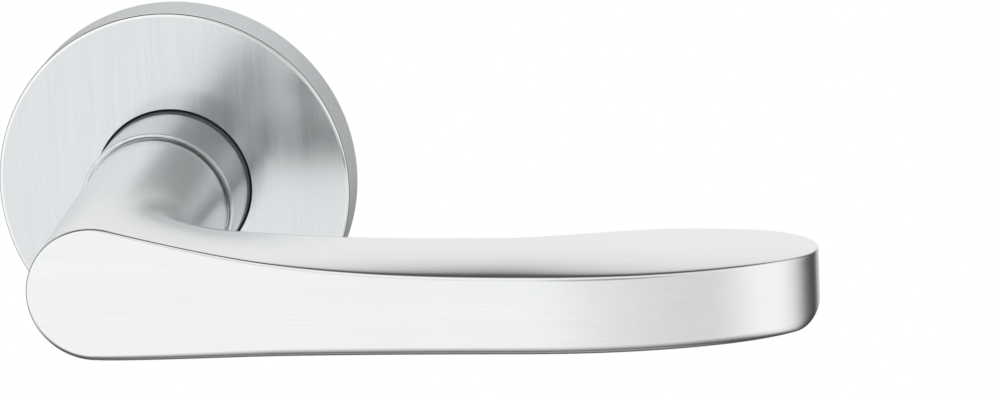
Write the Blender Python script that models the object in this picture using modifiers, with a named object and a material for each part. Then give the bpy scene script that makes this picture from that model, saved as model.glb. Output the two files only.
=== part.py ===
# Door lever handle on a round rose, one side of a door set.
# The spindle axis is the Y axis: -Y is the room side, the door face is the plane y = 0,
# the grip points along +X and +Z is up. "Height" h is the distance off the door, so y = -h.
import math

import bmesh
import bpy
import numpy as np
from mathutils import Vector

MM = 0.001

# ---- driving sizes, all in millimetres ----
CLEAR = 0.3                # gap between pieces that touch or run on each other
SEGMENTS = 48              # facets round a turned piece

ROSE_R = 27.5              # rose cover
ROSE_WALL = 1.0
ROSE_EDGE = 0.5
CLIP_PLAY = 0.6            # space between the spring clips and the inside of the cover

COLLAR_WALL = 0.5          # guide collar round the lever's neck
COLLAR_HEIGHT = 13.2       # its front rim above the rose
COLLAR_EDGE = 0.45
BUSH_SHOW = 0.2            # dark bearing ring seen round the collar
BUSH_PROUD = 1.0           # its height above the rose
BUSH_FLANGE = 0.7
BUSH_LIP = 1.2             # the flange reaches this far under the housing
BUSH_WALL = 1.3
SLEEVE_WALL = 0.8          # tube of the rear bush

NECK_STEP = 2.5            # the neck stands this much proud of the journal
NECK_TAPER = 1.0           # and narrows by this much up to the front face
NECK_SINK = 1.0            # how far the neck's shoulder sits inside the collar
JOURNAL_R = 8.6            # turned journal that runs in the bushes
JOURNAL_TAIL = 2.0         # journal length behind the door face
FLAT_DEPTH = 1.0           # depth of the journal's two drive flats

FACE_HEIGHT = 69.0         # flat front face above the door
GRIP_END = 104.0           # tip of the grip from the axis
GRIP_DEPTH = 18.0          # grip, front to back
GRIP_CROWN = 4.6           # top of the grip above the axis
GRIP_EDGE_Z = 2.4          # crisp upper edge of the front face
GRIP_FOOT_Z = -9.2         # underside of the grip
FOOT_ROUND = 1.4           # rounded lower edge
TOP_BEVEL = 0.25           # narrow bevel on the crisp edge
CROWN_AT = 0.8             # share of the depth where the top of the section is highest
FOOT_FLAT = 0.40           # share of the depth where the underside starts to round up
SLOPE_POWER = 3.0          # how early the top slope steepens towards the crisp edge
FLARE_START = 2.5
FLARE_LENGTH = 62.9        # the head narrows to the grip over this length
FLARE_POWER = 2.54
CROWN_FLARE_POWER = 4.4
CROWN_SUNK = 0.2           # the crown starts this much below the top of the head
THROAT_X = 26.0            # grip section is free of the neck from here on
THROAT_ROUND = 4.0         # fillet between the neck's side and the back of the grip
THROAT_PULL = 7.0          # reach of the throat's curve along the head's tangent
THROAT_BACK_PULL = 0.45    # its reach back from the free grip, as a share of the gap
RETURN_START = 64.0        # the grip bends back towards the door from here
RETURN_DEPTH = 19.6
RETURN_POWER = 2.1
DROP_START = 62.0          # edge and crown sink from here to the tip
EDGE_DROP = 1.1
EDGE_DROP_POWER = 8.0
CROWN_DROP = 2.55
CROWN_DROP_POWER = 2.1
TIP_FOOT_ROUND = 2.8       # lower corner of the tip, seen from the front
BACK_START_X = 57.0        # the back of the grip swings to the door from here
BACK_SHIFT = 7.5
BACK_END_X = 90.0          # the back corner of the tip starts here
BACK_CORNER = 5.2          # its depth
ROUND_COUNT = 13           # columns round half the head
THROAT_COUNT = 8
GRIP_COUNT = 10
TIP_COUNT = 8
BACK_ROWS = 7
FACE_ROWS = 4

SPINDLE_SIDE = 8.0         # square spindle
SPINDLE_IN = 36.0          # length inside the lever, from the door face
SPINDLE_OUT = 58.0         # length behind the door face
GRUB_R = 2.85              # M6 grub screw
GRUB_HEIGHT = 30.0
GRUB_LENGTH = 5.8
GRUB_HEX_R = 1.7
GRUB_HEX_DEEP = 2.5
SPINDLE_EDGE = 0.4

PLATE_THICK = 3.2          # mounting plate
PLATE_WEB = 1.0            # metal left in front of its rear recess
RECESS_WIDTH = 3.5         # recess round the journal's bore
LUG_PITCH = 38.0           # distance between the two through-bolting points
LUG_R = 4.0
LUG_LENGTH = 6.5
SCREW_R = 2.4              # M5 fixing screws
SCREW_HEAD_R = 4.6
SCREW_HEAD_H = 2.5
SCREW_TAIL = 12.0          # screw end behind the door face
SCREW_HEX_R = 1.73
SCREW_HEX_DEEP = 1.6
HOUSING_DISC = 0.8         # spring housing
HOUSING_WALL = 1.0
SMALL_SCREW_R = 1.3        # M3 screws that hold the housing
SMALL_HEAD_R = 2.4
SMALL_HEAD_H = 0.7
SMALL_ORBIT = 20.0
SMALL_ANGLES = (20.0, 225.0)
SMALL_SIDES = 16           # facets round a small hole or pin

TURN_RANGE = 45.0          # travel of the lever, degrees
FINGER_HALF = 2.0          # drive ring's finger
FINGER_REACH = 19.0
RING_WIDTH = 3.0           # drive ring round the journal
RING_THICK = 1.1
STOP_R = 1.25              # stop pins
STOP_ORBIT = 17.0
STOP_SUNK = 1.5            # pin's seat in the plate
SPRING_WIRE = 1.2
SPRING_GAP = 0.7           # space between the drive ring and the spring's wire
SPRING_LEG = 2.6
CIRCLIP_REACH = 1.8        # the retaining ring stands this much proud of the journal
CIRCLIP_THICK = 0.8
CIRCLIP_GAP = 4.0
GROOVE_DEPTH = 1.3
CLIP_THICK = 0.6           # spring clips that hold the rose cover
CLIP_WIDTH = 11.4
CLIP_INSET = 1.0           # clip edge above the door and below the cover
REAR_FLANGE = 0.6
WASHER_THICK = 0.4
WASHER_PLAY = 1.0          # space round the thrust washer in the recess
OVERCUT = 1.0              # how far a cutter runs past what it cuts

# ---- sizes that follow from them ----
PLATE_FRONT = PLATE_THICK
RING_BASE = PLATE_FRONT + CLEAR
RING_TOP = RING_BASE + RING_THICK
BUSH_BASE = RING_TOP + CLEAR
BUSH_FLANGE_TOP = BUSH_BASE + BUSH_FLANGE
HOUSING_UNDER = BUSH_FLANGE_TOP + CLEAR
HOUSING_TOP = HOUSING_UNDER + HOUSING_DISC
ROSE_HEIGHT = HOUSING_TOP + CLEAR + ROSE_WALL
BUSH_RING_TOP = ROSE_HEIGHT + BUSH_PROUD
COLLAR_TOP = ROSE_HEIGHT + COLLAR_HEIGHT
PLATE_R = ROSE_R - ROSE_WALL - CLIP_PLAY - CLIP_THICK - CLEAR
NECK_R_BACK = JOURNAL_R + NECK_STEP
NECK_R_FACE = NECK_R_BACK - NECK_TAPER
COLLAR_R = NECK_R_BACK + CLEAR + COLLAR_WALL
BUSH_R = COLLAR_R + BUSH_SHOW
BUSH_TUBE_R = JOURNAL_R + CLEAR + BUSH_WALL
FLAT_HALF = JOURNAL_R - FLAT_DEPTH
RECESS_R = JOURNAL_R + CLEAR + RECESS_WIDTH
RING_R = JOURNAL_R + RING_WIDTH
SPRING_R = RING_R + SPRING_GAP + 0.5 * SPRING_WIRE
CIRCLIP_R = JOURNAL_R + CIRCLIP_REACH
GROOVE_R = JOURNAL_R - GROOVE_DEPTH
WASHER_R = RECESS_R - WASHER_PLAY
SPRING_H = 0.5 * (RING_TOP + RING_BASE)
NECK_BASE = COLLAR_TOP - NECK_SINK
BORE_R = JOURNAL_R + CLEAR
PLATE_BORE_R = BORE_R + SLEEVE_WALL + CLEAR
RECESS_TOP = PLATE_FRONT - PLATE_WEB
REAR_FLANGE_BASE = RECESS_TOP - CLEAR - REAR_FLANGE
WASHER_BASE = REAR_FLANGE_BASE - CLEAR - WASHER_THICK
CIRCLIP_TOP = WASHER_BASE - CLEAR
CIRCLIP_BASE = CIRCLIP_TOP - CIRCLIP_THICK
REST_ANGLE = 180.0         # the finger points to -X at rest
FINGER_CLEAR = math.degrees((FINGER_HALF + STOP_R + CLEAR) / STOP_ORBIT)
SOCKET_SIDE = SPINDLE_SIDE + 2 * CLEAR


# ---- collections and materials ----

def new_collection(name):
    group = bpy.data.collections.new(name)
    bpy.context.scene.collection.children.link(group)
    return group


def metal(name, colour, roughness):
    material = bpy.data.materials.new(name)
    material.use_nodes = True
    shader = material.node_tree.nodes["Principled BSDF"]
    shader.inputs["Base Color"].default_value = (*colour, 1.0)
    shader.inputs["Metallic"].default_value = 1.0
    shader.inputs["Roughness"].default_value = roughness
    return material


def plastic(name, colour, roughness):
    material = metal(name, colour, roughness)
    material.node_tree.nodes["Principled BSDF"].inputs["Metallic"].default_value = 0.0
    return material


# ---- building blocks ----

def place(name, mesh, material, group):
    item = bpy.data.objects.new(name, mesh)
    group.objects.link(item)
    if material:
        mesh.materials.append(material)
    return item


def turned(name, profile, material, group, steps=SEGMENTS):
    """Turned piece about the spindle axis: (radius, height) points in mm, down the outer side first."""
    mesh = bpy.data.meshes.new(name)
    points = [(r * MM, 0.0, h * MM) for r, h in profile]
    closed = profile[0][0] > 0 or profile[-1][0] > 0
    edges = [(i, i + 1) for i in range(len(points) - 1)]
    if closed:
        edges.append((len(points) - 1, 0))
    mesh.from_pydata(points, edges, [])
    item = place(name, mesh, material, group)
    screw = item.modifiers.new("turn", "SCREW")
    screw.axis = "Z"
    screw.angle = 2 * math.pi
    screw.steps = steps
    screw.render_steps = steps
    screw.use_smooth_shade = True
    screw.use_merge_vertices = True
    screw.merge_threshold = 0.000005
    item.rotation_euler = (math.pi / 2, 0.0, 0.0)
    return item


def cylinder(name, radius, low, high, x, z, material, group, sides=24):
    """Round bar parallel to the spindle axis, from height low to height high, in mm."""
    mesh = bpy.data.meshes.new(name)
    shape = bmesh.new()
    bmesh.ops.create_cone(shape, cap_ends=True, segments=sides, radius1=radius * MM,
                          radius2=radius * MM,
                          depth=(high - low) * MM)
    shape.to_mesh(mesh)
    shape.free()
    item = place(name, mesh, material, group)
    item.rotation_euler = (math.pi / 2, 0.0, 0.0)
    item.location = (x * MM, -0.5 * (low + high) * MM, z * MM)
    return item


def block(name, size, centre, material, group, turn=0.0):
    """Box with its sizes and centre in mm along X, Y and Z, turned about the spindle axis."""
    mesh = bpy.data.meshes.new(name)
    shape = bmesh.new()
    bmesh.ops.create_cube(shape, size=1.0)
    bmesh.ops.scale(shape, vec=Vector(size) * MM, verts=shape.verts)
    bmesh.ops.translate(shape, vec=Vector(centre) * MM, verts=shape.verts)
    shape.to_mesh(mesh)
    shape.free()
    item = place(name, mesh, material, group)
    item.rotation_euler = (0.0, math.radians(turn), 0.0)
    return item


def combine(item, tool, operation="DIFFERENCE"):
    change = item.modifiers.new(tool.name, "BOOLEAN")
    change.operation = operation
    change.solver = "EXACT"
    change.object = tool
    tool.hide_render = True
    tool.display_type = "WIRE"


def orbit(radius, angle):
    """Point on a circle about the axis; 0 degrees is +X, 90 degrees is +Z."""
    return radius * math.cos(math.radians(angle)), radius * math.sin(math.radians(angle))


# ---- the lever: one cast body, lofted from its sections ----

def flare(x, power):
    """1 at the head, falling smoothly to 0 where the plain grip starts."""
    return np.clip(1 - (x - FLARE_START) / FLARE_LENGTH, 0, 1.05) ** power


def towards_tip(x):
    """0 where the grip starts to bend towards the door, 1 at its end."""
    return np.clip((x - DROP_START) / (GRIP_END - DROP_START), 0, 1)


def edge_height(x):
    top = math.sqrt(NECK_R_FACE ** 2 - FLARE_START ** 2)
    drop = EDGE_DROP * towards_tip(x) ** EDGE_DROP_POWER
    return GRIP_EDGE_Z + (top - GRIP_EDGE_Z) * flare(x, FLARE_POWER) - drop


def foot_height(x):
    corner = np.clip(x - (GRIP_END - TIP_FOOT_ROUND), 0, TIP_FOOT_ROUND)
    lift = TIP_FOOT_ROUND - np.sqrt(TIP_FOOT_ROUND ** 2 - corner ** 2)
    return GRIP_FOOT_Z - (NECK_R_FACE + GRIP_FOOT_Z) * flare(x, FLARE_POWER) + lift


def crown_height(x):
    rise = (NECK_R_FACE - CROWN_SUNK - GRIP_CROWN) * flare(x, CROWN_FLARE_POWER)
    return GRIP_CROWN + rise - CROWN_DROP * towards_tip(x) ** CROWN_DROP_POWER


def ridge_height(x):
    return 0.5 * (crown_height(x) + foot_height(x))


def top_line(x, g):
    """Upper half of the section: a bowed slope up to the crown, then a quarter ellipse to the back."""
    edge, crown, ridge = edge_height(x), crown_height(x), ridge_height(x)
    climb = 1 - np.clip(1 - g / CROWN_AT, 0, 1) ** SLOPE_POWER
    fall = np.clip((g - CROWN_AT) / (1 - CROWN_AT), 0, 1)
    back = ridge + (crown - ridge) * np.sqrt(1 - fall ** 2)
    return np.where(g < CROWN_AT, edge + (crown - edge) * climb, back)


def foot_line(x, g):
    """Lower half of the section: flat, then a quarter ellipse up to the back."""
    foot, ridge = foot_height(x), ridge_height(x)
    fall = np.clip((g - FOOT_FLAT) / (1 - FOOT_FLAT), 0, 1)
    return ridge + (foot - ridge) * np.sqrt(1 - fall ** 2)


def front_plan():
    """Front edge seen from above: straight, then depth = D (1 - root(1 - u^p)), square to the door."""
    run = GRIP_END - RETURN_START
    plain = np.linspace(THROAT_X, BACK_END_X, GRIP_COUNT)
    share = np.clip((plain - RETURN_START) / run, 0, 1) ** RETURN_POWER
    turn = np.linspace(math.asin(math.sqrt(share[-1])), math.pi / 2, TIP_COUNT)[1:]
    x = np.concatenate([plain, RETURN_START + run * np.sin(turn) ** (2 / RETURN_POWER)])
    return x, RETURN_DEPTH * (1 - np.concatenate([np.sqrt(1 - share), np.cos(turn)]))


def back_plan(x_front):
    """Back of the grip seen from above, one point for each point of the front edge."""
    share = np.clip((x_front - BACK_START_X) / (BACK_END_X - BACK_START_X), 0, 1)
    depth = GRIP_DEPTH + BACK_SHIFT * share ** 2 * (3 - 2 * share)
    tip = np.arange(len(x_front)) >= GRIP_COUNT - 1
    angle = math.pi / 2 * (np.cumsum(tip) - 1) / (TIP_COUNT - 1)
    corner_x = BACK_END_X + (GRIP_END - BACK_END_X) * np.sin(angle)
    corner_d = GRIP_DEPTH + BACK_SHIFT - BACK_CORNER * (1 - np.cos(angle))
    return np.where(tip, corner_x, x_front), np.where(tip, corner_d, depth)


def section_rows():
    """Shares of the depth for the rows, fine at the front edge, at the crown and at the back."""
    near = np.array([0.0, TOP_BEVEL, 0.5 * FOOT_ROUND, FOOT_ROUND]) / GRIP_DEPTH
    middle = np.linspace(near[-1], CROWN_AT, 6)[1:]
    back = CROWN_AT + (1 - CROWN_AT) * np.sin(np.linspace(0, math.pi / 2, BACK_ROWS))[1:]
    return np.concatenate([near, middle, back])


def half_shell(g, side):
    """Grid of points over the upper (side = 1) or lower (side = -1) half of the lever's body."""
    rows = g[:, None]
    line = top_line if side > 0 else foot_line
    leave = math.acos(FLARE_START / NECK_R_FACE) if side > 0 else -math.pi / 2
    ridge = math.asin(float(ridge_height(NECK_R_FACE)) / NECK_R_FACE)
    tangent = ridge + (leave - ridge) * (1 - rows ** 4) ** 0.8
    neck_depth = GRIP_DEPTH + THROAT_ROUND
    taper = (NECK_R_BACK - NECK_R_FACE) / (FACE_HEIGHT - NECK_BASE)
    radius = NECK_R_FACE + taper * rows * neck_depth

    # round head: from the far left, round to where the grip leaves the circle
    share = np.linspace(0, 1, ROUND_COUNT)[None, :]
    angle = side * math.pi + (tangent - side * math.pi) * share
    head_x = radius * np.cos(angle)
    head_z = radius * np.sin(angle)
    head_d = rows * neck_depth + 0 * share

    # throat: a Bezier curve in each layer from the circle to the free grip
    s = np.linspace(0, 1, THROAT_COUNT)[None, 1:-1]
    from_x, from_z = radius * np.cos(tangent), radius * np.sin(tangent)
    slope = line(THROAT_X + 0.5, rows) - line(THROAT_X - 0.5, rows)
    handle = side * THROAT_PULL * (1 - rows) ** 0.7
    back_handle = THROAT_BACK_PULL * (THROAT_X - radius)
    to_z = line(THROAT_X, rows)
    blend = [(1 - s) ** 3, 3 * s * (1 - s) ** 2, 3 * s ** 2 * (1 - s), s ** 3]
    pull_x = [from_x, from_x + handle * np.sin(tangent), THROAT_X - back_handle, THROAT_X]
    pull_z = [from_z, from_z - handle * np.cos(tangent), to_z - back_handle * slope, to_z]
    throat_x = sum(w * p for w, p in zip(blend, pull_x))
    throat_z = sum(w * p for w, p in zip(blend, pull_z))
    run = np.clip((THROAT_X - NECK_R_FACE) * s, 0, THROAT_ROUND)
    fillet = THROAT_ROUND - np.sqrt(THROAT_ROUND ** 2 - (THROAT_ROUND - run) ** 2)
    throat_d = rows * (GRIP_DEPTH + fillet)

    # free grip and tip: straight section lines between the front and back plan curves
    front_x, front_d = front_plan()
    back_x, back_d = back_plan(front_x)
    grip_x = front_x + rows * (back_x - front_x)
    grip_d = front_d + rows * (back_d - front_d)
    grip_z = line(front_x[None, :], rows)

    x = np.concatenate([head_x, throat_x, grip_x], axis=1)
    z = np.concatenate([head_z, throat_z, grip_z], axis=1)
    d = np.concatenate([head_d, throat_d, grip_d], axis=1)
    return x, z, d


def soften_edge(x, z, g, side):
    """Pull the first rows in: a narrow bevel above, a quarter round below that fades on the head."""
    columns = x.shape[1]
    size = np.full(columns, TOP_BEVEL)
    if side < 0:
        fade = np.clip(np.arange(columns) / (ROUND_COUNT + THROAT_COUNT), 0, 1)
        size = TOP_BEVEL + (FOOT_ROUND - TOP_BEVEL) * fade
    reach = np.clip(1 - g[:, None] * GRIP_DEPTH / size, 0, 1)
    inset = size * (1 - np.sqrt(1 - reach ** 2))
    radius = np.hypot(x, z)
    head = np.arange(columns) < ROUND_COUNT
    x = np.where(head, x * (1 - inset / radius), x)
    z = np.where(head, z * (1 - inset / radius), z - side * inset)
    return x, z


def skin(grid_shape, offset):
    """Quads of a grid of points, as index arrays."""
    rows, columns = grid_shape
    index = np.arange(rows * columns).reshape(rows, columns) + offset
    return np.stack([index[:-1, :-1], index[:-1, 1:], index[1:, 1:], index[1:, :-1]], -1).reshape(-1, 4)


def lever_surface():
    """All patches of the lever, in mm, merged later along their shared borders."""
    g = section_rows()
    halves = []
    for side in (1, -1):
        x, z, d = half_shell(g, side)
        x, z = soften_edge(x, z, g, side)
        halves.append(np.stack([x, d - FACE_HEIGHT, z], -1))
    upper, lower = halves
    share = np.linspace(0, 1, FACE_ROWS)[:, None, None]
    patches = [upper, lower, upper[0][None] + share * (lower[0] - upper[0])[None],
               upper[:, -1][None] + share * (lower[:, -1] - upper[:, -1])[None]]

    # neck, shoulder and journal: rings that carry on from the last row of the head
    for half in halves:
        last = half[-1, :ROUND_COUNT]
        angle = np.arctan2(last[:, 2], last[:, 0])
        if half is lower:
            angle = np.where(angle > math.pi / 2, angle - 2 * math.pi, angle)
        radii = [np.hypot(last[0, 0], last[0, 2]), NECK_R_BACK, JOURNAL_R, JOURNAL_R, 0.0]
        heights = [-last[0, 1], NECK_BASE, NECK_BASE, -JOURNAL_TAIL, -JOURNAL_TAIL]
        rings = [np.stack([r * np.cos(angle), -h + 0 * angle, r * np.sin(angle)], -1)
                 for r, h in zip(radii, heights)]
        patches.append(np.stack(rings))
    return patches


def patches_to_mesh(name, patches):
    mesh = bpy.data.meshes.new(name)
    points = []
    quads = []
    offset = 0
    for patch in patches:
        quads.append(skin(patch.shape[:2], offset))
        points.append(patch.reshape(-1, 3) * MM)
        offset += patch.shape[0] * patch.shape[1]
    mesh.from_pydata(np.concatenate(points).tolist(), [], np.concatenate(quads).tolist())
    shape = bmesh.new()
    shape.from_mesh(mesh)
    bmesh.ops.remove_doubles(shape, verts=shape.verts, dist=0.000004)
    bmesh.ops.dissolve_degenerate(shape, edges=shape.edges, dist=0.000001)
    bmesh.ops.recalc_face_normals(shape, faces=shape.faces)
    shape.to_mesh(mesh)
    shape.free()
    mesh.shade_smooth()
    mesh.set_sharp_from_angle(angle=math.radians(35))
    return mesh


def make_lever(parts, cutters, satin):
    lever = place("lever_handle", patches_to_mesh("lever_handle", lever_surface()), satin, parts)
    depth = SPINDLE_IN + CLEAR + JOURNAL_TAIL + OVERCUT
    centre = -SPINDLE_IN - CLEAR + 0.5 * depth
    combine(lever, block("cut_socket", (SOCKET_SIDE, depth, SOCKET_SIDE), (0, centre, 0), None, cutters))
    groove_low = CIRCLIP_BASE - CLEAR
    groove_high = CIRCLIP_TOP + CLEAR
    outside = JOURNAL_R + OVERCUT
    groove = [(outside, groove_high), (outside, groove_low), (GROOVE_R, groove_low), (GROOVE_R, groove_high)]
    combine(lever, turned("cut_groove", groove, None, cutters))
    flat_top = RING_TOP + CLEAR
    flat_deep = JOURNAL_R - FLAT_HALF + OVERCUT
    for side in (-1, 1):
        size = (flat_deep, flat_top + JOURNAL_TAIL + OVERCUT, 2 * JOURNAL_R)
        spot = (side * (FLAT_HALF + 0.5 * flat_deep), 0.5 * (JOURNAL_TAIL + OVERCUT - flat_top), 0)
        combine(lever, block("cut_flat_%d" % side, size, spot, None, cutters))
    hole_depth = NECK_R_BACK - 0.5 * SOCKET_SIDE + 2 * OVERCUT
    hole = cylinder("cut_grub", GRUB_R + CLEAR, 0, hole_depth, 0, 0, None, cutters, sides=20)
    hole.rotation_euler = (0.0, 0.0, 0.0)
    hole.location = (0.0, -GRUB_HEIGHT * MM, -(0.5 * SOCKET_SIDE - OVERCUT + 0.5 * hole_depth) * MM)
    combine(lever, hole)
    return lever


# ---- pieces that turn with the lever ----

def make_spindle(parts, steel):
    length = SPINDLE_IN + SPINDLE_OUT
    spindle = block("spindle", (SPINDLE_SIDE, length, SPINDLE_SIDE),
                    (0, 0.5 * (SPINDLE_OUT - SPINDLE_IN), 0), steel, parts)
    edge = spindle.modifiers.new("edge", "BEVEL")
    edge.width = SPINDLE_EDGE * MM
    edge.segments = 1
    return spindle


def make_grub_screw(parts, cutters, steel):
    top = -(0.5 * SPINDLE_SIDE + CLEAR)
    screw = cylinder("grub_screw", GRUB_R, 0, GRUB_LENGTH, 0, 0, steel, parts)
    screw.rotation_euler = (0.0, 0.0, 0.0)
    screw.location = (0.0, -GRUB_HEIGHT * MM, (top - 0.5 * GRUB_LENGTH) * MM)
    hexagon = cylinder("cut_grub_hex", GRUB_HEX_R, 0, 2 * GRUB_HEX_DEEP, 0, 0, None, cutters, sides=6)
    hexagon.rotation_euler = (0.0, 0.0, 0.0)
    hexagon.location = (0.0, -GRUB_HEIGHT * MM, (top - GRUB_LENGTH) * MM)
    combine(screw, hexagon)
    return screw


def make_drive_ring(parts, cutters, steel):
    ring = turned("drive_ring", [(RING_R, RING_TOP), (RING_R, RING_BASE), (FLAT_HALF, RING_BASE),
                                 (FLAT_HALF, RING_TOP)], steel, parts)
    middle = 0.5 * (RING_TOP + RING_BASE)
    inner = RING_R - OVERCUT
    arm = block("add_finger", (FINGER_REACH - inner, RING_THICK, 2 * FINGER_HALF),
                (-0.5 * (FINGER_REACH + inner), -middle, 0), None, cutters, turn=180.0 - REST_ANGLE)
    combine(ring, arm, "UNION")
    bore = cylinder("cut_ring_bore", BORE_R, RING_BASE - OVERCUT, RING_TOP + OVERCUT, 0, 0, None, cutters,
                    sides=SEGMENTS)
    width = 2 * (FLAT_HALF + CLEAR)
    limit = block("keep_ring_key", (width, RING_THICK + 4 * OVERCUT, 3 * JOURNAL_R), (0, -middle, 0), None,
                  cutters)
    combine(bore, limit, "INTERSECT")
    combine(ring, bore)
    return ring


def make_circlip(parts, cutters, steel):
    inner = GROOVE_R + CLEAR
    clip = turned("retaining_ring", [(CIRCLIP_R, CIRCLIP_TOP), (CIRCLIP_R, CIRCLIP_BASE),
                                     (inner, CIRCLIP_BASE), (inner, CIRCLIP_TOP)], steel, parts)
    middle = 0.5 * (CIRCLIP_TOP + CIRCLIP_BASE)
    combine(clip, block("cut_circlip_gap", (CIRCLIP_GAP, CIRCLIP_THICK + 2 * OVERCUT, 2 * CIRCLIP_R),
                        (0, -middle, -CIRCLIP_R), None, cutters))
    return clip


# ---- pieces fixed to the door ----

def sunk_hole(name, radius, head_radius, head_height, face, low, cutters):
    """Cutter for a countersunk screw: its shank and head with the clearance all round."""
    wide = head_radius + 1.5 * CLEAR
    top = face + OVERCUT
    profile = [(0, top), (wide, top), (wide, face), (radius + CLEAR, face - head_height),
               (radius + CLEAR, low), (0, low)]
    return turned(name, profile, None, cutters, steps=24)


def sunk_screw(name, radius, head_radius, head_height, face, low, steel, parts):
    profile = [(0, face), (head_radius, face), (radius, face - head_height), (radius, low), (0, low)]
    return turned(name, profile, steel, parts, steps=24)


def make_plate(parts, cutters, zinc):
    profile = [(PLATE_R, PLATE_FRONT), (PLATE_R, 0), (RECESS_R, 0), (RECESS_R, RECESS_TOP),
               (PLATE_BORE_R, RECESS_TOP), (PLATE_BORE_R, PLATE_FRONT)]
    plate = turned("mounting_plate", profile, zinc, parts)
    for side, label in ((1, "upper"), (-1, "lower")):
        z = side * 0.5 * LUG_PITCH
        lug = cylinder("add_lug_" + label, LUG_R, -LUG_LENGTH, 0.5 * PLATE_THICK, 0, z, None, cutters)
        combine(plate, lug, "UNION")
    for side, label in ((1, "upper"), (-1, "lower")):
        sunk = sunk_hole("cut_lug_" + label, SCREW_R, SCREW_HEAD_R, SCREW_HEAD_H, PLATE_FRONT,
                         -LUG_LENGTH - OVERCUT, cutters)
        sunk.location = (0, 0, side * 0.5 * LUG_PITCH * MM)
        combine(plate, sunk)
    for angle in SMALL_ANGLES:
        x, z = orbit(SMALL_ORBIT, angle)
        hole = cylinder("cut_small_%d" % angle, SMALL_SCREW_R + CLEAR, -OVERCUT, PLATE_FRONT + OVERCUT,
                        x, z, None, cutters, sides=SMALL_SIDES)
        combine(plate, hole)
    for angle in stop_angles():
        x, z = orbit(STOP_ORBIT, angle)
        combine(plate, cylinder("cut_stop_%d" % angle, STOP_R + CLEAR, PLATE_FRONT - STOP_SUNK - CLEAR,
                                PLATE_FRONT + OVERCUT, x, z, None, cutters, sides=SMALL_SIDES))
    return plate


def stop_angles():
    """The finger swings from REST_ANGLE up and over; a pin stands just past each end."""
    return (REST_ANGLE + FINGER_CLEAR, REST_ANGLE - TURN_RANGE - FINGER_CLEAR)


def make_housing(parts, cutters, zinc):
    low = PLATE_FRONT + CLEAR
    inner = BUSH_R + CLEAR
    profile = [(PLATE_R, HOUSING_TOP), (PLATE_R, low), (PLATE_R - HOUSING_WALL, low),
               (PLATE_R - HOUSING_WALL, HOUSING_UNDER), (inner, HOUSING_UNDER), (inner, HOUSING_TOP)]
    housing = turned("spring_housing", profile, zinc, parts)
    for side, label in ((1, "upper"), (-1, "lower")):
        combine(housing, cylinder("cut_access_" + label, SCREW_HEAD_R + CLEAR, HOUSING_UNDER - OVERCUT,
                                  HOUSING_TOP + OVERCUT, 0, side * 0.5 * LUG_PITCH, None, cutters))
    for angle in SMALL_ANGLES:
        x, z = orbit(SMALL_ORBIT, angle)
        sunk = sunk_hole("cut_housing_%d" % angle, SMALL_SCREW_R, SMALL_HEAD_R, SMALL_HEAD_H, HOUSING_TOP,
                         PLATE_FRONT + CLEAR, cutters)
        sunk.location = (x * MM, 0, z * MM)
        combine(housing, sunk)
    return housing


def make_bushes(parts, nylon):
    tube_top = NECK_BASE - CLEAR
    front = turned("front_bush", [(BUSH_TUBE_R, tube_top), (BUSH_TUBE_R, BUSH_RING_TOP),
                                  (BUSH_R, BUSH_RING_TOP), (BUSH_R, BUSH_FLANGE_TOP),
                                  (BUSH_R + BUSH_LIP, BUSH_FLANGE_TOP), (BUSH_R + BUSH_LIP, BUSH_BASE),
                                  (BORE_R, BUSH_BASE), (BORE_R, tube_top)], nylon, parts)
    sleeve = PLATE_BORE_R - CLEAR
    sleeve_top = PLATE_FRONT - 0.5 * CLEAR
    rear = turned("rear_bush", [(sleeve, sleeve_top), (sleeve, RECESS_TOP - CLEAR),
                                (RECESS_R - CLEAR, RECESS_TOP - CLEAR), (RECESS_R - CLEAR, REAR_FLANGE_BASE),
                                (BORE_R, REAR_FLANGE_BASE), (BORE_R, sleeve_top)], nylon, parts)
    return front, rear


def make_collar(parts, satin):
    base = BUSH_RING_TOP + CLEAR
    mouth = NECK_R_BACK + CLEAR
    seat = BUSH_TUBE_R + CLEAR
    step = NECK_BASE - CLEAR
    profile = [(COLLAR_R - COLLAR_EDGE, COLLAR_TOP), (COLLAR_R, COLLAR_TOP - COLLAR_EDGE), (COLLAR_R, base),
               (seat, base), (seat, step), (mouth, step), (mouth, COLLAR_TOP)]
    return turned("guide_collar", profile, satin, parts)


def make_screws(parts, cutters, steel):
    for side, label in ((1, "upper"), (-1, "lower")):
        z = side * 0.5 * LUG_PITCH
        screw = sunk_screw("fixing_screw_" + label, SCREW_R, SCREW_HEAD_R, SCREW_HEAD_H, PLATE_FRONT,
                           -SCREW_TAIL, steel, parts)
        screw.location = (0, 0, z * MM)
        combine(screw, cylinder("cut_hex_" + label, SCREW_HEX_R, PLATE_FRONT - SCREW_HEX_DEEP,
                                PLATE_FRONT + OVERCUT, 0, z, None, cutters, sides=6))
    for number, angle in enumerate(SMALL_ANGLES, 1):
        x, z = orbit(SMALL_ORBIT, angle)
        screw = sunk_screw("housing_screw_%d" % number, SMALL_SCREW_R, SMALL_HEAD_R, SMALL_HEAD_H,
                           HOUSING_TOP, CLEAR, steel, parts)
        screw.location = (x * MM, 0, z * MM)


def make_stops(parts, steel):
    for label, angle in zip(("rest", "turned"), stop_angles()):
        x, z = orbit(STOP_ORBIT, angle)
        cylinder("stop_pin_" + label, STOP_R, PLATE_FRONT - STOP_SUNK, HOUSING_UNDER - CLEAR, x, z,
                 steel, parts, sides=SMALL_SIDES)


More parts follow.
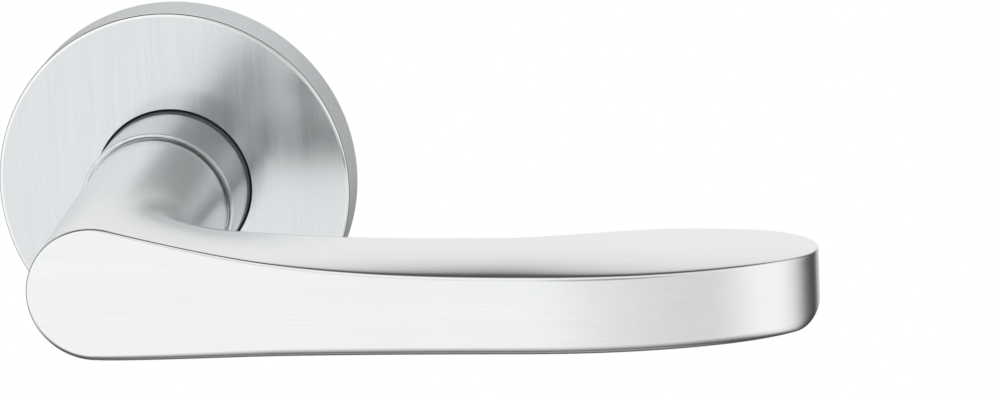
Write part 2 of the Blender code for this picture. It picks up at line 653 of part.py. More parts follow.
def make_spring(parts, steel):
    """Open ring of round wire; its two ends are bent outwards next to the stop pins."""
    first, last = stop_angles()
    margin = math.degrees((STOP_R + SPRING_WIRE + CLEAR) / STOP_ORBIT)
    start = math.radians(first + margin)
    end = math.radians(last - margin + 360.0)
    angles = np.linspace(start, end, 40)
    reach = SPRING_R + SPRING_LEG
    route = [(reach * math.cos(start), reach * math.sin(start))]
    route += [(SPRING_R * math.cos(a), SPRING_R * math.sin(a)) for a in angles]
    route.append((reach * math.cos(end), reach * math.sin(end)))
    curve = bpy.data.curves.new("return_spring", "CURVE")
    curve.dimensions = "3D"
    curve.bevel_depth = 0.5 * SPRING_WIRE * MM
    curve.bevel_resolution = 2
    curve.use_fill_caps = True
    spline = curve.splines.new("POLY")
    spline.points.add(len(route) - 1)
    for point, (x, z) in zip(spline.points, route):
        point.co = (x * MM, -SPRING_H * MM, z * MM, 1.0)
    spring = bpy.data.objects.new("return_spring", curve)
    curve.materials.append(steel)
    parts.objects.link(spring)
    return spring


def make_clips(parts, cutters, steel):
    """Two bowed spring strips round the plate's rim, cut from one ring each."""
    low, high = CLIP_INSET, HOUSING_TOP - CLIP_INSET
    inner = PLATE_R + CLEAR
    profile = [(inner + CLIP_THICK, high), (inner + CLIP_THICK, low), (inner, low), (inner, high)]
    for side, label in ((1, "right"), (-1, "left")):
        clip = turned("cover_clip_" + label, profile, steel, parts)
        keep = block("keep_clip_" + label, (PLATE_R, high + 2 * OVERCUT, CLIP_WIDTH),
                     (side * PLATE_R, -0.5 * high, 0), None, cutters)
        combine(clip, keep, "INTERSECT")


# ---- the piece that slides ----

def make_cover(parts, satin):
    hole = BUSH_R + CLEAR
    bend = [math.radians(a) for a in (90, 60, 30, 0)]
    rim = [(ROSE_R - ROSE_EDGE + ROSE_EDGE * math.cos(a), ROSE_HEIGHT - ROSE_EDGE + ROSE_EDGE * math.sin(a))
           for a in bend]
    profile = rim + [(ROSE_R, 0), (ROSE_R - ROSE_WALL, 0), (ROSE_R - ROSE_WALL, ROSE_HEIGHT - ROSE_WALL),
                     (hole, ROSE_HEIGHT - ROSE_WALL), (hole, ROSE_HEIGHT)]
    return turned("rose_cover", profile, satin, parts, steps=72)


def main():
    for item in list(bpy.data.objects):
        bpy.data.objects.remove(item, do_unlink=True)
    parts = new_collection("door_lever_handle")
    cutters = new_collection("cutters")

    satin = metal("satin_aluminium", (0.78, 0.79, 0.80), 0.30)
    steel = metal("zinc_plated_steel", (0.62, 0.63, 0.64), 0.35)
    spring_steel = metal("spring_steel", (0.35, 0.36, 0.38), 0.30)
    zinc = metal("die_cast_zinc", (0.55, 0.56, 0.57), 0.45)
    nylon = plastic("black_nylon", (0.03, 0.03, 0.035), 0.50)

    turning = [make_lever(parts, cutters, satin), make_spindle(parts, steel),
               make_grub_screw(parts, cutters, spring_steel), make_drive_ring(parts, cutters, steel),
               make_circlip(parts, cutters, spring_steel)]
    turning.append(turned("thrust_washer", [(WASHER_R, WASHER_BASE + WASHER_THICK),
                                            (WASHER_R, WASHER_BASE), (BORE_R, WASHER_BASE),
                                            (BORE_R, WASHER_BASE + WASHER_THICK)], steel, parts))
    pivot = bpy.data.objects.new("lever_pivot", None)
    parts.objects.link(pivot)
    for item in turning:
        item.parent = pivot

    make_plate(parts, cutters, zinc)
    make_housing(parts, cutters, zinc)
    make_bushes(parts, nylon)
    make_collar(parts, satin)
    make_screws(parts, cutters, steel)
    make_stops(parts, steel)
    make_spring(parts, spring_steel)
    make_clips(parts, cutters, spring_steel)
    make_cover(parts, satin)


main()
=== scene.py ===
import math

import bmesh
import bpy
import numpy as np
from mathutils import Matrix, Vector


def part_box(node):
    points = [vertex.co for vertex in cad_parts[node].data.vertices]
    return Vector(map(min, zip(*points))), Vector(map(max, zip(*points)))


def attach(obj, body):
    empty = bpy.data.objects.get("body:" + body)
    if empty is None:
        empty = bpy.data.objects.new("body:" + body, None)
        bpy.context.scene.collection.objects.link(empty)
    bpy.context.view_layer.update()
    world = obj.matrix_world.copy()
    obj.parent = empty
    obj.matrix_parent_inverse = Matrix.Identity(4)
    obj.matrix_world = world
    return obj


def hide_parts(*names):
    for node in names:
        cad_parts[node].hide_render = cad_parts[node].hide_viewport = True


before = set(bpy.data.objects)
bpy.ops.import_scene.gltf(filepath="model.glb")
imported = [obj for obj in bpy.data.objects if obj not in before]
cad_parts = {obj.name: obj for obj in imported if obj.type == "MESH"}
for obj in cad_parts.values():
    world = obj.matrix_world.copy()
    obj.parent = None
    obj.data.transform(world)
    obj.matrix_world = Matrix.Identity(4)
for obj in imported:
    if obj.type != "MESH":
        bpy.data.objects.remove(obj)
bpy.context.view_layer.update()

mm = 0.001


# helpers that every piece uses

def hexToLinear(code):
    # sRGB hex to linear red, green, blue, with alpha 1
    parts = [int(code[i:i + 2], 16) / 255 for i in (1, 3, 5)]
    return tuple(p / 12.92 if p <= 0.04045 else ((p + 0.055) / 1.055) ** 2.4 for p in parts) + (1.0,)


def addNode(tree, kind, settings=None, **links):
    # one shader node: settings are its own properties or socket values, links feed its sockets
    node = tree.nodes.new("ShaderNode" + kind)
    for key, value in (settings or {}).items():
        if key in node.inputs:
            node.inputs[key].default_value = value
        else:
            setattr(node, key, value)
    for key, source in links.items():
        tree.links.new(source, node.inputs[key.replace("_", " ")])
    return node


def patchQuads(rows, columns, offset):
    index = np.arange(rows * columns).reshape(rows, columns) + offset
    corners = (index[:-1, :-1], index[:-1, 1:], index[1:, 1:], index[1:, :-1])
    return np.stack(corners, -1).reshape(-1, 4)


def meshFromPatches(name, patches, weld=0.004, sharp=35.0):
    # grids of points in mm become one closed mesh: shared borders are merged, faces turned outwards
    points, quads, offset = [], [], 0
    for patch in patches:
        quads.append(patchQuads(patch.shape[0], patch.shape[1], offset))
        points.append(patch.reshape(-1, 3) * mm)
        offset += patch.shape[0] * patch.shape[1]
    mesh = bpy.data.meshes.new(name)
    mesh.from_pydata(np.concatenate(points).tolist(), [], np.concatenate(quads).tolist())
    return finishedPiece(name, mesh, weld, sharp)


def finishedPiece(name, mesh, weld, sharp):
    shape = bmesh.new()
    shape.from_mesh(mesh)
    bmesh.ops.remove_doubles(shape, verts=shape.verts, dist=weld * mm)
    bmesh.ops.dissolve_degenerate(shape, edges=shape.edges, dist=0.0005 * mm)
    bmesh.ops.recalc_face_normals(shape, faces=shape.faces)
    shape.to_mesh(mesh)
    shape.free()
    mesh.shade_smooth()
    mesh.set_sharp_from_angle(angle=math.radians(sharp))
    piece = bpy.data.objects.new(name, mesh)
    bpy.context.scene.collection.objects.link(piece)
    return piece


def turnedPiece(name, profile, segments):
    # a closed loop of (radius, height off the door) carried round the spindle axis
    loop = np.array(profile + profile[:1], float)
    angle = np.linspace(0, 2 * math.pi, segments + 1)[None, :]
    radius, height = loop[:, :1], loop[:, 1:]
    points = np.stack([radius * np.cos(angle), -height + 0 * angle, radius * np.sin(angle)], -1)
    return meshFromPatches(name, [points], weld=0.0005)


def roundedLoop(corners, steps=7, guard=0.03):
    # closed outline whose corners (r, h, fillet) are rounded by B = (1-t)^2 a + 2t(1-t) c + t^2 b, with a point
    # a guard distance outside each end so the flat faces stay flat when shaded
    outline = []
    count = len(corners)
    for i, (r, h, fillet) in enumerate(corners):
        here = np.array((r, h))
        if fillet <= 0:
            outline.append((r, h))
            continue
        before = np.array(corners[i - 1][:2]) - here
        after = np.array(corners[(i + 1) % count][:2]) - here
        before, after = before / np.linalg.norm(before), after / np.linalg.norm(after)
        t = np.linspace(0, 1, steps)[:, None]
        curve = here + fillet * ((1 - t) ** 2 * before + t ** 2 * after)
        curve = np.concatenate([[here + before * (fillet + guard)], curve, [here + after * (fillet + guard)]])
        outline += [tuple(spot) for spot in curve]
    return outline


def refinedCopy(node, bevel=0.12, sharp=30.0):
    # the CAD solid's own surface, merged, with its hard edges broken by a narrow bevel
    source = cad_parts[node]
    mesh = source.data.copy()
    mesh.materials.clear()
    shape = bmesh.new()
    shape.from_mesh(mesh)
    bmesh.ops.remove_doubles(shape, verts=shape.verts, dist=0.002 * mm)
    bmesh.ops.dissolve_limit(shape, angle_limit=math.radians(0.5), verts=shape.verts, edges=shape.edges)
    shape.to_mesh(mesh)
    shape.free()
    mesh.shade_smooth()
    mesh.set_sharp_from_angle(angle=math.radians(sharp))
    piece = bpy.data.objects.new(node + "_fine", mesh)
    bpy.context.scene.collection.objects.link(piece)
    edge = piece.modifiers.new("brokenEdges", "BEVEL")
    edge.width = bevel * mm
    edge.segments = 2
    edge.limit_method = "ANGLE"
    edge.angle_limit = math.radians(sharp)
    edge.harden_normals = True
    return piece


def standFor(piece, node, body, material):
    piece.data.materials.clear()
    piece.data.materials.append(material)
    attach(piece, body)
    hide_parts(node)


# camera and light

view = {"azimuth": 8.94, "elevation": 15.07, "roll": -2.55, "distance": 1000.0, "lens": 232.7,
        "aim": (49.65, 0.0, -4.52)}


def towardCamera():
    # direction from the handle to the camera
    azimuth, elevation = math.radians(view["azimuth"]), math.radians(view["elevation"])
    return Vector((math.sin(azimuth) * math.cos(elevation), -math.cos(azimuth) * math.cos(elevation),
                   math.sin(elevation)))


def placeCamera():
    azimuth, roll = math.radians(view["azimuth"]), math.radians(view["roll"])
    back = towardCamera()
    right = Vector((math.cos(azimuth), math.sin(azimuth), 0.0))
    up = back.cross(right)
    rolledRight = math.cos(roll) * right + math.sin(roll) * up
    rolledUp = math.cos(roll) * up - math.sin(roll) * right
    turn = Matrix((rolledRight, rolledUp, back)).transposed().to_4x4()
    spot = Vector(view["aim"]) * mm + back * view["distance"] * mm
    data = bpy.data.cameras.new("productCamera")
    data.lens = view["lens"]
    data.sensor_width = 36.0
    data.clip_start = 0.01
    data.clip_end = 20.0
    camera = bpy.data.objects.new("productCamera", data)
    camera.matrix_world = Matrix.Translation(spot) @ turn
    bpy.context.scene.collection.objects.link(camera)
    bpy.context.scene.camera = camera


# brightness of the studio by direction, in degrees: "over" runs from the front (0) over the top (90) to the
# back (180) and under the object (negative); "around" runs level from the front towards +X; "cameraGap" is the
# unlit gap between the panels where the camera stands
studio = {
    "over": [(-180, 0.90), (-166, 0.74), (-156, 0.24), (-110, 0.08), (-88, 0.08), (-64, 0.14), (-50, 0.45),
             (-38, 0.80), (-24, 1.0), (0, 1.0), (30, 1.05), (50, 1.0), (64, 0.30), (76, 0.08), (110, 0.08),
             (120, 0.42), (132, 0.72), (146, 0.87), (162, 0.91), (180, 0.88)],
    "around": [(-180, 1.0), (-157, 0.95), (-143, 0.20), (-104, 0.15), (-84, 0.90), (-66, 1.0), (-12, 1.0),
               (-4, 0.95), (4, 0.84), (14, 0.78), (26, 0.73), (40, 0.72), (50, 0.88), (60, 1.0), (80, 1.0),
               (92, 0.85), (104, 0.55), (116, 0.20), (126, 0.12), (146, 0.14), (153, 0.50), (160, 0.85),
               (168, 1.0), (180, 1.0)],
    "cameraGap": 0.42, "gapInner": 0.985, "gapOuter": 0.950,
    "floorX": 50.0, "floorDrop": 1500.0, "floorRadius": 400.0,
}


def rampOf(tree, source, pairs):
    # brightness read from a colour ramp whose stops are given in degrees from -180 to 180
    ranged = addNode(tree, "MapRange", {"From Min": -180.0, "From Max": 180.0}, Value=source)
    ramp = addNode(tree, "ValToRGB", Fac=ranged.outputs["Result"])
    stops = ramp.color_ramp.elements
    while len(stops) > 1:
        stops.remove(stops[-1])
    for number, (degrees, level) in enumerate(pairs):
        place = (degrees + 180) / 360
        stop = stops[0] if number == 0 else stops.new(place)
        stop.position = place
        stop.color = (level, level, level, 1.0)
    return ramp.outputs["Color"]


def mathOf(tree, operation, *sources):
    # one Math node whose inputs are sockets or plain numbers
    node = addNode(tree, "Math", {"operation": operation})
    for slot, source in zip(node.inputs, sources):
        if isinstance(source, (int, float)):
            slot.default_value = source
        else:
            tree.links.new(source, slot)
    return node.outputs[0]


def lightStudio():
    # brightness = over(direction) blended to 1 near the X poles, times around(direction) for level directions
    world = bpy.data.worlds.new("softStudio")
    bpy.context.scene.world = world
    world.use_nodes = True
    tree = world.node_tree
    tree.nodes.clear()
    way = addNode(tree, "TexCoord").outputs["Generated"]
    split = addNode(tree, "SeparateXYZ", Vector=way)
    x, z = split.outputs["X"], split.outputs["Z"]
    front = mathOf(tree, "MULTIPLY", split.outputs["Y"], -1.0)
    over = rampOf(tree, mathOf(tree, "DEGREES", mathOf(tree, "ARCTAN2", z, front)), studio["over"])
    around = rampOf(tree, mathOf(tree, "DEGREES", mathOf(tree, "ARCTAN2", x, front)), studio["around"])
    sideways = addNode(tree, "MapRange", {"interpolation_type": "SMOOTHSTEP", "From Min": 0.55, "From Max": 0.92},
                       Value=mathOf(tree, "ABSOLUTE", x))
    level = addNode(tree, "MapRange", {"interpolation_type": "SMOOTHSTEP", "From Min": 0.5, "From Max": 0.85,
                                       "To Min": 1.0, "To Max": 0.0}, Value=mathOf(tree, "ABSOLUTE", z))
    overPart = mathOf(tree, "ADD", over, mathOf(tree, "MULTIPLY", sideways.outputs[0],
                                                mathOf(tree, "SUBTRACT", 1.0, over)))
    aroundPart = mathOf(tree, "ADD", 1.0, mathOf(tree, "MULTIPLY", level.outputs[0],
                                                 mathOf(tree, "SUBTRACT", around, 1.0)))
    toCamera = addNode(tree, "VectorMath", {"operation": "DOT_PRODUCT"}, Vector=way)
    toCamera.inputs[1].default_value = towardCamera()
    gap = addNode(tree, "MapRange", {"interpolation_type": "SMOOTHSTEP", "From Min": studio["gapOuter"],
                                     "From Max": studio["gapInner"], "To Min": 1.0, "To Max": studio["cameraGap"]},
                  Value=toCamera.outputs["Value"])
    bright = mathOf(tree, "MULTIPLY", mathOf(tree, "MULTIPLY", overPart, aroundPart), gap.outputs[0])
    lit = addNode(tree, "Background", {"Color": (1.0, 1.0, 1.0, 1.0)}, Strength=bright)
    plain = addNode(tree, "Background", {"Color": (1.0, 1.0, 1.0, 1.0), "Strength": 1.0})
    mix = addNode(tree, "MixShader")
    tree.links.new(addNode(tree, "LightPath").outputs["Is Camera Ray"], mix.inputs[0])
    tree.links.new(lit.outputs[0], mix.inputs[1])
    tree.links.new(plain.outputs[0], mix.inputs[2])
    addNode(tree, "OutputWorld", Surface=mix.outputs[0])
    bpy.context.scene.view_settings.view_transform = "Standard"


def layFloor():
    # plain pale round floor, well below the handle
    radius = np.linspace(0, studio["floorRadius"], 3)[:, None]
    angle = np.linspace(0, 2 * math.pi, 65)[None, :]
    level = -studio["floorDrop"] + 0 * radius * angle
    points = np.stack([studio["floorX"] + radius * np.cos(angle), radius * np.sin(angle), level], -1)
    floor = meshFromPatches("floor", [points], weld=0.01)
    material = bpy.data.materials.new("pale_matt_floor")
    material.use_nodes = True
    shader = material.node_tree.nodes["Principled BSDF"]
    shader.inputs["Base Color"].default_value = hexToLinear("#e6e6e4")
    shader.inputs["Roughness"].default_value = 0.9
    floor.data.materials.append(material)


placeCamera()
lightStudio()
layFloor()
print("stage: camera, studio light and floor")


# finishes

def baseMaterial(name):
    material = bpy.data.materials.new(name)
    material.use_nodes = True
    tree = material.node_tree
    shader = tree.nodes["Principled BSDF"]
    return material, tree, shader


def toneOf(tree, source, darker, lighter, low, high):
    # a colour that runs from the darker to the lighter tone between two levels of the source
    tone = addNode(tree, "ValToRGB", Fac=source)
    for stop, place, code in zip(tone.color_ramp.elements, (low, high), (darker, lighter)):
        stop.position = place
        stop.color = hexToLinear(code)
    return tone.outputs[0]


def spindleSpot(tree, place):
    # distance to the spindle axis, and the place along it
    split = addNode(tree, "SeparateXYZ", Vector=place)
    flat = addNode(tree, "CombineXYZ", X=split.outputs["X"], Y=split.outputs["Z"])
    reach = addNode(tree, "VectorMath", {"operation": "LENGTH"})
    tree.links.new(flat.outputs[0], reach.inputs[0])
    return reach.outputs["Value"], split.outputs["Y"]


def brushedMetal(name, colour, darker, roughness, grain, lineWidth, lineLength, depth, spread):
    # aluminium brushed in one direction: grain is the direction of the lines; they cut fine grooves, so the
    # colour, roughness and height all vary across the lines and hardly along them. Real lines are about 0.05 mm
    # wide; they are drawn coarser so that they don't blur away
    material, tree, shader = baseMaterial(name)
    shader.inputs["Metallic"].default_value = 1.0
    place = addNode(tree, "TexCoord").outputs["Object"]
    across, along = 1.0 / (lineWidth * mm), 1.0 / (lineLength * mm)
    scale = tuple(along if axis == grain else across for axis in "XYZ")
    fineSpot = addNode(tree, "Mapping", {"Scale": scale}, Vector=place)
    broadSpot = addNode(tree, "Mapping", {"Scale": tuple(s * 0.13 for s in scale)}, Vector=place)
    fine = addNode(tree, "TexNoise", {"Scale": 1.0, "Detail": 3.0, "Roughness": 0.65}, Vector=fineSpot.outputs[0])
    broad = addNode(tree, "TexNoise", {"Scale": 1.0, "Detail": 2.0, "Roughness": 0.5}, Vector=broadSpot.outputs[0])
    cloud = addNode(tree, "TexNoise", {"Scale": 60.0, "Detail": 2.0}, Vector=place)
    mixed = addNode(tree, "Mix", {"data_type": "FLOAT", "Factor": 0.35})
    tree.links.new(fine.outputs[0], mixed.inputs[2])
    tree.links.new(broad.outputs[0], mixed.inputs[3])
    tone = toneOf(tree, mixed.outputs[0], darker, colour, 0.32, 0.68)
    tree.links.new(tone, shader.inputs["Base Color"])
    dull = addNode(tree, "MapRange", {"From Min": 0.3, "From Max": 0.7, "To Min": roughness - spread,
                                      "To Max": roughness + spread}, Value=mixed.outputs[0])
    patchy = addNode(tree, "MapRange", {"From Min": 0.3, "From Max": 0.7, "To Min": -0.015, "To Max": 0.015},
                     Value=cloud.outputs[0])
    tree.links.new(mathOf(tree, "ADD", dull.outputs[0], patchy.outputs[0]), shader.inputs["Roughness"])
    bump = addNode(tree, "Bump", {"Strength": 1.0, "Distance": depth * mm}, Height=mixed.outputs[0])
    tree.links.new(bump.outputs[0], shader.inputs["Normal"])
    return material


def blendInto(tree, socket, factor, value):
    # mixes a colour or a number into what already feeds a socket, by a factor that varies over the surface
    kind, first, second, result = ("RGBA", 6, 7, 2) if isinstance(value, tuple) else ("FLOAT", 2, 3, 0)
    mix = addNode(tree, "Mix", {"data_type": kind})
    tree.links.new(factor, mix.inputs[0])
    tree.links.new(socket.links[0].from_socket, mix.inputs[first])
    mix.inputs[second].default_value = value
    tree.links.new(mix.outputs[result], socket)


def rubEdges(material, lighter, smoother, size=700.0):
    # handled edges: lighter and smoother where 1 - (normal . rounded normal) is large, times a spotty noise
    tree = material.node_tree
    shader = tree.nodes["Principled BSDF"]
    place = addNode(tree, "TexCoord").outputs["Object"]
    noise = addNode(tree, "TexNoise", {"Scale": size, "Detail": 4.0, "Roughness": 0.6}, Vector=place)
    spots = addNode(tree, "MapRange", {"From Min": 0.42, "From Max": 0.62}, Value=noise.outputs[0])
    turn = addNode(tree, "VectorMath", {"operation": "DOT_PRODUCT"})
    tree.links.new(addNode(tree, "Bevel", {"Radius": 0.35 * mm}).outputs["Normal"], turn.inputs[0])
    tree.links.new(addNode(tree, "NewGeometry").outputs["Normal"], turn.inputs[1])
    edge = addNode(tree, "MapRange", {"From Min": 0.995, "From Max": 0.90}, Value=turn.outputs["Value"])
    wearAndPaintedShade = mathOf(tree, "MULTIPLY", edge.outputs[0], spots.outputs[0])
    blendInto(tree, shader.inputs["Base Color"], wearAndPaintedShade, hexToLinear(lighter))
    blendInto(tree, shader.inputs["Roughness"], wearAndPaintedShade, smoother)


# painted light on the rose: "bright" is a painted highlight on the rounded front rim, "dull" is painted shade on
# the turned side band, broken by spots
rimPaintedLight = {"bandOuter": 0.45, "bandInner": 0.6, "faceOuter": 0.3, "faceInner": 0.6, "spots": 2400.0,
           "leastSpot": 0.55, "spotRange": 0.8, "bright": "#f7f8f8", "brightRoughness": 0.16,
           "dull": "#cfd3d5", "dullRoughness": 0.34}


def paintRimHighlightAndShade(material, radius, height):
    # painted light on a brushed disc: its rounded rim is painted bright as a highlight, and its turned side is
    # duller and painted greyer as shade, in spots. Both masks come from the distance to the spindle axis and the
    # height off the door
    tree = material.node_tree
    shader = tree.nodes["Principled BSDF"]
    place = addNode(tree, "TexCoord").outputs["Object"]
    reach, depth = spindleSpot(tree, place)
    rim = addNode(tree, "MapRange", {"From Min": radius - rimPaintedLight["bandInner"] * mm,
                                     "From Max": radius - rimPaintedLight["bandOuter"] * mm}, Value=reach)
    side = addNode(tree, "MapRange", {"From Min": -height + rimPaintedLight["faceOuter"] * mm,
                                      "From Max": -height + rimPaintedLight["faceInner"] * mm}, Value=depth)
    noise = addNode(tree, "TexNoise", {"Scale": rimPaintedLight["spots"], "Detail": 3.0}, Vector=place)
    spotty = mathOf(tree, "ADD", rimPaintedLight["leastSpot"],
                    mathOf(tree, "MULTIPLY", noise.outputs[0], rimPaintedLight["spotRange"]))
    # mask of the painted shade on the side band, in spots
    wearAndPaintedShade = mathOf(tree, "MULTIPLY", mathOf(tree, "MULTIPLY", side.outputs[0], rim.outputs[0]), spotty)
    # the rim band takes the painted highlight, then the side band takes the painted shade, in colour and roughness
    for socket, bright, dull in (("Base Color", hexToLinear(rimPaintedLight["bright"]), hexToLinear(rimPaintedLight["dull"])),
                                 ("Roughness", rimPaintedLight["brightRoughness"], rimPaintedLight["dullRoughness"])):
        blendInto(tree, shader.inputs[socket], rim.outputs[0], bright)
        blendInto(tree, shader.inputs[socket], wearAndPaintedShade, dull)


def turnedMetal(name, colour, darker, roughness, ringWidth, depth):
    # metal faced and turned on a lathe: fine rings round the spindle axis, from the distance to that axis
    # and the height along it. Real rings are about 0.1 mm wide; they are drawn coarser so that they show
    material, tree, shader = baseMaterial(name)
    shader.inputs["Metallic"].default_value = 1.0
    place = addNode(tree, "TexCoord").outputs["Object"]
    reach, depthAlong = spindleSpot(tree, place)
    cut = addNode(tree, "CombineXYZ", X=reach, Y=depthAlong)
    spot = addNode(tree, "Mapping", {"Scale": (1 / (ringWidth * mm),) * 3}, Vector=cut.outputs[0])
    ring = addNode(tree, "TexNoise", {"Scale": 1.0, "Detail": 3.0, "Roughness": 0.6}, Vector=spot.outputs[0])
    grime = addNode(tree, "TexNoise", {"Scale": 220.0, "Detail": 4.0}, Vector=place)
    tone = toneOf(tree, ring.outputs[0], darker, colour, 0.3, 0.7)
    tree.links.new(tone, shader.inputs["Base Color"])
    dull = addNode(tree, "MapRange", {"From Min": 0.3, "From Max": 0.7, "To Min": roughness - 0.05,
                                      "To Max": roughness + 0.06}, Value=grime.outputs[0])
    tree.links.new(dull.outputs[0], shader.inputs["Roughness"])
    bump = addNode(tree, "Bump", {"Strength": 1.0, "Distance": depth * mm}, Height=ring.outputs[0])
    tree.links.new(bump.outputs[0], shader.inputs["Normal"])
    return material


def castMetal(name, colour, darker, roughness, grainSize, depth):
    # die-cast or plated metal: a fine pebbled skin with faint cloudy stains
    material, tree, shader = baseMaterial(name)
    shader.inputs["Metallic"].default_value = 1.0
    place = addNode(tree, "TexCoord").outputs["Object"]
    pebble = addNode(tree, "TexNoise", {"Scale": 1 / (grainSize * mm), "Detail": 4.0}, Vector=place)
    stain = addNode(tree, "TexNoise", {"Scale": 130.0, "Detail": 5.0, "Roughness": 0.6}, Vector=place)
    tone = toneOf(tree, stain.outputs[0], darker, colour, 0.35, 0.62)
    tree.links.new(tone, shader.inputs["Base Color"])
    dull = addNode(tree, "MapRange", {"From Min": 0.35, "From Max": 0.65, "To Min": roughness + 0.08,
                                      "To Max": roughness - 0.06}, Value=stain.outputs[0])
    tree.links.new(dull.outputs[0], shader.inputs["Roughness"])
    bump = addNode(tree, "Bump", {"Strength": 1.0, "Distance": depth * mm}, Height=pebble.outputs[0])
    tree.links.new(bump.outputs[0], shader.inputs["Normal"])
    return material


def mouldedNylon(name, colour, lighter, roughness, fibreSpots=4200.0, relief=0.01):
    # dark grey glass-filled nylon: matt, with a fine sparkle of fibres near the surface, drawn about 0.25 mm wide
    # because the real ones, 0.01 mm thick, are too fine to show
    material, tree, shader = baseMaterial(name)
    shader.inputs["IOR"].default_value = 1.53
    place = addNode(tree, "TexCoord").outputs["Object"]
    fibre = addNode(tree, "TexNoise", {"Scale": fibreSpots, "Detail": 3.0}, Vector=place)
    tone = toneOf(tree, fibre.outputs[0], colour, lighter, 0.4, 0.8)
    tree.links.new(tone, shader.inputs["Base Color"])
    dull = addNode(tree, "MapRange", {"From Min": 0.3, "From Max": 0.7, "To Min": roughness - 0.08,
                                      "To Max": roughness + 0.08}, Value=fibre.outputs[0])
    tree.links.new(dull.outputs[0], shader.inputs["Roughness"])
    bump = addNode(tree, "Bump", {"Strength": 1.0, "Distance": relief * mm}, Height=fibre.outputs[0])
    tree.links.new(bump.outputs[0], shader.inputs["Normal"])
    return material


leverSatin = brushedMetal("anodised_aluminium_lever_fine_brushed", "#f8f9f9", "#f1f3f4", 0.22, "X", 0.35, 9.0,
                          0.0005, 0.02)
roseSatin = brushedMetal("anodised_aluminium_rose_straight_brushed", "#e5e8e9", "#dde0e2", 0.18, "Z", 0.26, 16.0,
                         0.0010, 0.02)
collarSatin = turnedMetal("anodised_aluminium_collar_turned", "#e3e5e7", "#dadcde", 0.22, 0.30, 0.001)
# paints a highlight on the rose's rounded rim and shade on its side band
paintRimHighlightAndShade(roseSatin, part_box("rose_cover")[1][0], -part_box("rose_cover")[0][1])
platedSteel = castMetal("zinc_plated_steel_bright", "#c9ccd0", "#b4b8bc", 0.30, 0.25, 0.004)
springSteel = castMetal("spring_steel_oil_blackened", "#8b8f95", "#6e7278", 0.32, 0.20, 0.003)
castZinc = castMetal("die_cast_zinc_dull", "#b9bcbe", "#a4a7aa", 0.46, 0.35, 0.012)
blackNylon = mouldedNylon("nylon_dark_grey_moulded", "#55585b", "#66696c", 0.50)
rubEdges(leverSatin, "#fbfbfb", 0.17)
rubEdges(collarSatin, "#fbfbfb", 0.15)
for material, lighter, smoother in ((platedSteel, "#e2e4e6", 0.20), (springSteel, "#b9bbbd", 0.22),
                                    (castZinc, "#d3d4d5", 0.30), (blackNylon, "#8a8c8e", 0.36)):
    rubEdges(material, lighter, smoother)
print("stage: finishes")


# lever: neck, head and grip in one surface

lever = {
    "neckBack": 11.1, "neckFace": 10.1, "neckBase": 20.2, "journal": 8.6, "tail": 2.0,
    "faceHeight": 69.0, "gripEnd": 104.0, "gripDepth": 18.0, "crown": 4.41, "edge": 2.4, "foot": -9.2,
    "footRound": 1.4, "topBevel": 0.35, "lip": 0.19, "lipWidth": 0.3,
    "flareLength": 62.9, "flareStart": 2.5, "flarePower": 2.54, "crownPower": 4.4, "crownSunk": 0.2,
    "throatX": 26.0, "throatRound": 12.0, "throatPull": 7.0, "throatBackPull": 0.45,
    "returnStart": 64.0, "returnDepth": 19.6, "returnPower": 2.1, "tipFootRound": 2.8,
    "edgeDrop": 1.1, "edgeDropPower": 8.0, "dropStart": 62.0,
    "crownDrop": 2.55, "crownDropPower": 2.1, "crownAt": 0.78, "crownBack": 0.13,
    "backStart": 57.0, "backShift": 7.5, "backEnd": 90.0, "backCorner": 5.2, "cornerSquare": 0.5,
    "footFlat": 0.40, "slopePower": 3.7,
    "socket": 8.6, "socketDeep": 36.3, "groove": 7.3, "grooveTop": 0.6, "grooveBase": -0.8,
    "flat": 7.6, "flatTop": 4.9, "grubHole": 3.15, "grubHeight": 30.0,
    "roundCount": 60, "throatCount": 34, "gripCount": 60, "tipCount": 44,
    "backRows": 26, "middleRows": 22, "faceRows": 14, "neckRows": 24, "neckChamfer": 0.2,
}


def flare(x, power):
    # 1 at the head, falling smoothly to 0 where the plain grip starts
    return np.clip(1 - (x - lever["flareStart"]) / lever["flareLength"], 0, 1.05) ** power


def toTip(x):
    # 0 where the grip starts to bend towards the door, 1 at its end
    return np.clip((x - lever["dropStart"]) / (lever["gripEnd"] - lever["dropStart"]), 0, 1)


def edgeHeight(x):
    # crisp upper edge of the front face
    top = math.sqrt(lever["neckFace"] ** 2 - lever["flareStart"] ** 2)
    fall = lever["edgeDrop"] * toTip(x) ** lever["edgeDropPower"]
    return lever["edge"] + (top - lever["edge"]) * flare(x, lever["flarePower"]) - fall


def footHeight(x):
    # underside, with the round lower corner of the tip
    radius = lever["tipFootRound"]
    corner = np.clip(x - (lever["gripEnd"] - radius), 0, radius)
    lift = radius - np.sqrt(radius ** 2 - corner ** 2)
    return lever["foot"] - (lever["neckFace"] + lever["foot"]) * flare(x, lever["flarePower"]) + lift


def crownHeight(x):
    # top of the section, highest at the head and lowest at the tip
    rise = (lever["neckFace"] - lever["crownSunk"] - lever["crown"]) * flare(x, lever["crownPower"])
    return lever["crown"] + rise - lever["crownDrop"] * toTip(x) ** lever["crownDropPower"]


def crownShare(x):
    # share of the depth at which the top is highest, further back at the tip
    return lever["crownAt"] + lever["crownBack"] * toTip(x)


def ridgeHeight(x):
    return 0.5 * (crownHeight(x) + footHeight(x))


